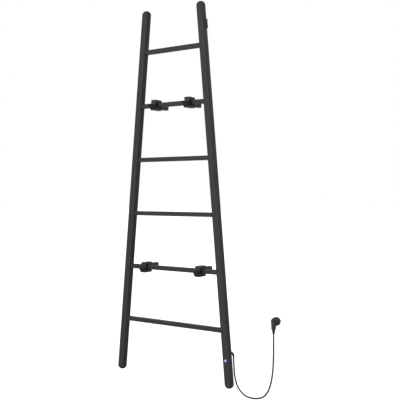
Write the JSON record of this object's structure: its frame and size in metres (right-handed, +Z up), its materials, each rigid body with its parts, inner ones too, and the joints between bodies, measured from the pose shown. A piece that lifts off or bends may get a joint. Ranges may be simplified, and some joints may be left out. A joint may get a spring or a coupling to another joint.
{
  "type": "wall-mounted electric towel warmer rack",
  "caption": "Tall A-shaped ladder towel warmer in matt black square tube, held off the wall by adjustable clamps, with a lit button, cord and plug.",
  "frame": {"origin": "on the wall plane, midway between the two upper wall screw holes", "axes": "+Z up, +Y into the wall, +X to the right seen from the front; the front faces -Y"},
  "size_m": [0.8315, 0.123, 1.7307],
  "materials": {
    "black_steel": "matt black powder coat",
    "bracket_black": "matt black powder coat",
    "fastener_steel": "zinc plated",
    "liner_rubber": "matt",
    "bezel_black": "satin",
    "button_lit": "translucent, lit from behind",
    "switch_black": "matt",
    "board_green": "satin",
    "carrier_grey": "matt",
    "bush_brass": "machined",
    "seal_rubber": "matt",
    "heater_steel": "drawn tube",
    "sensor_black": "fine texture",
    "cord_black": "matt",
    "plug_black": "satin",
    "contact_nickel": "nickel plated"
  },
  "bodies": {
    "rack": {"rail_left": "black_steel", "rail_right": "black_steel", "rung_1": "black_steel", "rung_2": "black_steel", "rung_3": "black_steel", "rung_4": "black_steel", "rung_5": "black_steel", "rung_6": "black_steel", "cap_top_left": "black_steel", "cap_top_right": "black_steel", "cap_bottom_left": "black_steel", "cap_bottom_right": "black_steel", "button_bezel": "bezel_black", "button_switch": "switch_black", "control_board": "board_green", "control_carrier": "carrier_grey", "terminal_block": "carrier_grey", "heater_bush": "bush_brass", "bush_seal": "seal_rubber", "heater_rod": "heater_steel", "sensor_housing": "sensor_black", "strain_relief": "cord_black", "cord": "cord_black", "plug_strain_relief": "cord_black", "plug_insert": "plug_black", "plug_body": "plug_black", "plug_pins": "contact_nickel", "plug_earth_clips": "contact_nickel"},
    "button": {"button_cap": "button_lit"},
    "clamp_ul": {"clamp_front_ul": "bracket_black", "clamp_rear_ul": "bracket_black", "clamp_screws_ul": "fastener_steel", "clamp_liner_ul": "liner_rubber", "stem_ul": "bracket_black"},
    "sleeve_ul": {"wall_sleeve_ul": "bracket_black", "grub_screw_ul": "fastener_steel"},
    "clamp_ur": {"clamp_front_ur": "bracket_black", "clamp_rear_ur": "bracket_black", "clamp_screws_ur": "fastener_steel", "clamp_liner_ur": "liner_rubber", "stem_ur": "bracket_black"},
    "sleeve_ur": {"wall_sleeve_ur": "bracket_black", "grub_screw_ur": "fastener_steel"},
    "clamp_ll": {"clamp_front_ll": "bracket_black", "clamp_rear_ll": "bracket_black", "clamp_screws_ll": "fastener_steel", "clamp_liner_ll": "liner_rubber", "stem_ll": "bracket_black"},
    "sleeve_ll": {"wall_sleeve_ll": "bracket_black", "grub_screw_ll": "fastener_steel"},
    "clamp_lr": {"clamp_front_lr": "bracket_black", "clamp_rear_lr": "bracket_black", "clamp_screws_lr": "fastener_steel", "clamp_liner_lr": "liner_rubber", "stem_lr": "bracket_black"},
    "sleeve_lr": {"wall_sleeve_lr": "bracket_black", "grub_screw_lr": "fastener_steel"}
  },
  "joints": [
    {"name": "button_press", "type": "slide", "parent": "rack", "child": "button", "axis": [0, 1, 0], "range_m": [0, 0.0012], "stiffness_N_per_m": 1000, "springref_m": -0.0008},
    {"name": "clamp_slide_ul", "type": "slide", "parent": "rack", "child": "clamp_ul", "axis": [1, 0, 0], "range_m": [-0.02, 0.02]},
    {"name": "clamp_slide_ur", "type": "slide", "parent": "rack", "child": "clamp_ur", "axis": [1, 0, 0], "range_m": [-0.02, 0.02]},
    {"name": "clamp_slide_ll", "type": "slide", "parent": "rack", "child": "clamp_ll", "axis": [1, 0, 0], "range_m": [-0.02, 0.02]},
    {"name": "clamp_slide_lr", "type": "slide", "parent": "rack", "child": "clamp_lr", "axis": [1, 0, 0], "range_m": [-0.02, 0.02]},
    {"name": "depth_slide_ul", "type": "slide", "parent": "clamp_ul", "child": "sleeve_ul", "axis": [0, 1, 0], "range_m": [-0.005, 0.008]},
    {"name": "depth_slide_ur", "type": "slide", "parent": "clamp_ur", "child": "sleeve_ur", "axis": [0, 1, 0], "range_m": [-0.005, 0.008]},
    {"name": "depth_slide_ll", "type": "slide", "parent": "clamp_ll", "child": "sleeve_ll", "axis": [0, 1, 0], "range_m": [-0.005, 0.008]},
    {"name": "depth_slide_lr", "type": "slide", "parent": "clamp_lr", "child": "sleeve_lr", "axis": [0, 1, 0], "range_m": [-0.005, 0.008]}
  ]
}
